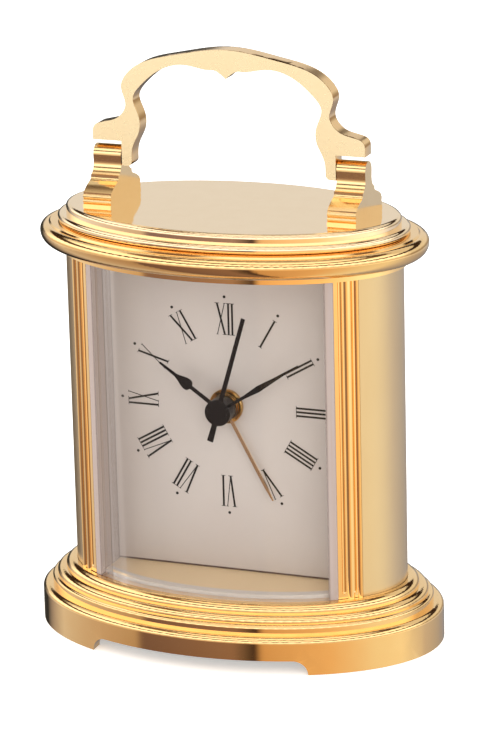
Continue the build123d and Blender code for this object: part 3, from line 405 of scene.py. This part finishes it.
def softened_bail():
    """The bail with its front and back rims rounded over, as it leaves the polisher."""
    bm = bmesh.new()
    bm.from_mesh(nodes["handle"].data)
    bmesh.ops.remove_doubles(bm, verts=bm.verts, dist=weld_distance)
    bmesh.ops.dissolve_limit(bm, angle_limit=coplanar_angle, verts=bm.verts, edges=bm.edges)
    rims = []
    for edge in bm.edges:
        flat = [abs(face.normal.y) > flat_facing for face in edge.link_faces]
        if len(flat) == 2 and flat[0] != flat[1]:
            rims.append(edge)
    bmesh.ops.bevel(bm, geom=rims, affect="EDGES", offset=rim_radius, offset_type="OFFSET",
                    segments=rim_steps, profile=0.5, material=-1, clamp_overlap=True)
    bmesh.ops.recalc_face_normals(bm, faces=bm.faces)
    # the rim faces take the darker gold, a painted dark reflection
    flat_face, outer_edge, rim = 0, 1, 2      # order of the finishes below
    for face in bm.faces:
        face.smooth = True
        facing = abs(face.normal.y)
        if facing > flat_facing:
            face.material_index = flat_face
        else:
            face.material_index = rim if facing > edge_facing else outer_edge
    for edge in bm.edges:
        flats = [face.material_index == flat_face for face in edge.link_faces]
        edge.smooth = flats[0] == flats[-1] and edge.calc_face_angle(0.0) < crease_angle
    made = new_piece("bail", bm, "handle_gold", "bail_edge", "bail_rim_painted_dark")
    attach(made, "handle_bail")
    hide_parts("handle")


# ---------------------------------------------------------------- studio
def studio_floor():
    """A wide sheet of pale paper, just below the feet."""
    bm = bmesh.new()
    radius, drop = 3.0, 0.1 * MM
    bmesh.ops.create_circle(bm, cap_ends=True, segments=96, radius=radius)
    bmesh.ops.translate(bm, verts=bm.verts, vec=(0, 0, -drop))
    f = finish("floor_paper")
    fibre = f.noise((300, 300, 300), 3.0)
    f.output(f.surface(Base_Color=f.blend(fibre, (0.90, 0.90, 0.89), (0.92, 0.92, 0.91)),
                       Roughness=0.9, Emission_Color=(1.0, 0.99, 0.97), Emission_Strength=0.45))
    made = new_piece("floor", bm, "floor_paper")
    made.visible_glossy = False


def grey(level):
    return (level, level, level)


def studio_world():
    """Soft surround: pale to the eye, while the polished metal sees cards, a wall and beams."""
    world = bpy.data.worlds.new("studio")
    bpy.context.scene.world = world
    world.cycles.sampling_method = "NONE"
    w = Finish(world)
    way = w.node("TexCoord", {}, {}, "Generated")
    z = w.part_of(way, "Z")
    # degrees round the clock: 0 in front of the dial, 90 to its right
    turn = w.node("Math", {"operation": "ARCTAN2"},
                  {0: w.part_of(way, "X"), 1: -1.0 * w.part_of(way, "Y")})
    round_share = turn * (1 / (2 * pi)) + 0.5

    def round_stops(levels):
        return [(degrees / 360 + 0.5, colour) for degrees, colour in levels]

    # low cards: warm on the right, dark in front and behind the left shoulder, and
    # brighter towards the horizon
    cards = w.ramp(round_share, round_stops([
        (-180, (0.30, 0.30, 0.34)), (-160, (0.05, 0.05, 0.05)), (-128, (0.03, 0.03, 0.03)),
        (-114, (0.34, 0.30, 0.30)), (-97, (0.62, 0.58, 0.58)), (-60, (0.50, 0.39, 0.33)),
        (-46, (0.44, 0.33, 0.25)), (-43, (0.17, 0.11, 0.11)), (-6, (0.27, 0.17, 0.14)),
        (0, (0.12, 0.08, 0.06)), (3, (0.04, 0.02, 0.02)), (6, (0.62, 0.38, 0.20)),
        (38, (0.80, 0.54, 0.31)), (68, (0.86, 0.78, 0.62)), (92, (0.90, 0.84, 0.70)),
        (125, (0.55, 0.52, 0.56)), (180, (0.30, 0.30, 0.34))]))
    lit_cards = w.blend(1.0, cards, (1.55, 1.65, 1.7), "MULTIPLY")
    low = w.blend(w.fade(z, -0.38, -0.24), cards, lit_cards)

    # a dark screen behind the left shoulder hides the foot of the wall there
    screen = w.ramp(round_share, round_stops([
        (-178, grey(0.0)), (-170, grey(1.0)), (-120, grey(1.0)), (-108, grey(0.0))]))
    wall = w.fade(z - screen * 0.30, -0.21, -0.09, kind="SMOOTHSTEP")

    # above the wall, from the horizon to overhead: pale wall, two dark beams, bright top
    beams = w.ramp(z * 0.5 + 0.5, [
        (0.44, (0.42, 0.34, 0.27)), (0.50, (0.55, 0.50, 0.44)), (0.57, (1.0, 1.0, 1.0)),
        (0.69, (1.0, 1.0, 1.0)), (0.705, (0.05, 0.03, 0.02)), (0.775, (0.05, 0.03, 0.02)),
        (0.80, (1.0, 0.98, 0.95)), (0.90, (0.95, 0.90, 0.82)), (0.92, (0.14, 0.09, 0.06)),
        (0.95, (0.14, 0.09, 0.06)), (0.965, (0.9, 0.85, 0.78))])
    behind = w.fade(abs(turn), radians(100), radians(128), kind="SMOOTHSTEP")
    upper = w.blend(1.0, beams, w.blend(behind, grey(1.65), grey(0.80)), "MULTIPLY")

    surround = w.node("Background", {}, {"Color": w.blend(wall, low, upper), "Strength": 1.0})
    plain = w.node("Background", {}, {"Color": (1.0, 0.99, 0.975), "Strength": 1.35})
    glossy = w.node("LightPath", {}, {}, "Is Glossy Ray")
    w.output(w.node("MixShader", {}, {0: glossy, 1: plain, 2: surround}), "OutputWorld")


def look_from(aim, azimuth, elevation, distance):
    """A point at a distance from aim; azimuth 0 is in front of the dial and 90 to its right."""
    return aim + distance * Vector((sin(azimuth) * cos(elevation), -cos(azimuth) * cos(elevation),
                                    sin(elevation)))


def key_light():
    """A wide soft panel in front, above and to the right, which reaches into the dial recess."""
    aim = Vector((0, -0.01, 0.045))
    place = look_from(aim, azimuth=radians(38), elevation=radians(30), distance=0.9)
    data = bpy.data.lights.new("key", "AREA")
    data.shape = "DISK"
    data.size = 0.5
    data.energy = 1.9
    data.color = (1.0, 0.96, 0.91)
    made = bpy.data.objects.new("key", data)
    facing = (place - aim).to_track_quat("Z", "Y").to_matrix().to_4x4()
    made.matrix_world = Matrix.Translation(place) @ facing
    made.visible_glossy = False
    made.visible_camera = False
    bpy.context.scene.collection.objects.link(made)


def camera():
    azimuth, elevation, roll = radians(21.58), radians(16.93), radians(1.44)
    side_step, aim_height = 0.00055, 0.05295
    aim = Vector((side_step * cos(azimuth), side_step * sin(azimuth), aim_height))
    place = look_from(aim, azimuth, elevation, distance=0.7626)
    ahead = (aim - place).normalized()
    right = ahead.cross(Vector((0, 0, 1))).normalized()
    up = right.cross(ahead)
    level = Matrix((right, up, -ahead)).transposed()
    data = bpy.data.cameras.new("camera")
    data.lens = 190.95
    data.sensor_width = 36
    data.clip_start = 0.01
    made = bpy.data.objects.new("camera", data)
    turned = (level @ Matrix.Rotation(-roll, 3, "Z")).to_4x4()
    made.matrix_world = Matrix.Translation(place) @ turned
    bpy.context.scene.collection.objects.link(made)
    bpy.context.scene.camera = made


dial_print()
softened_bail()
bpy.context.scene.view_settings.view_transform = "Standard"
studio_floor()
studio_world()
key_light()
camera()
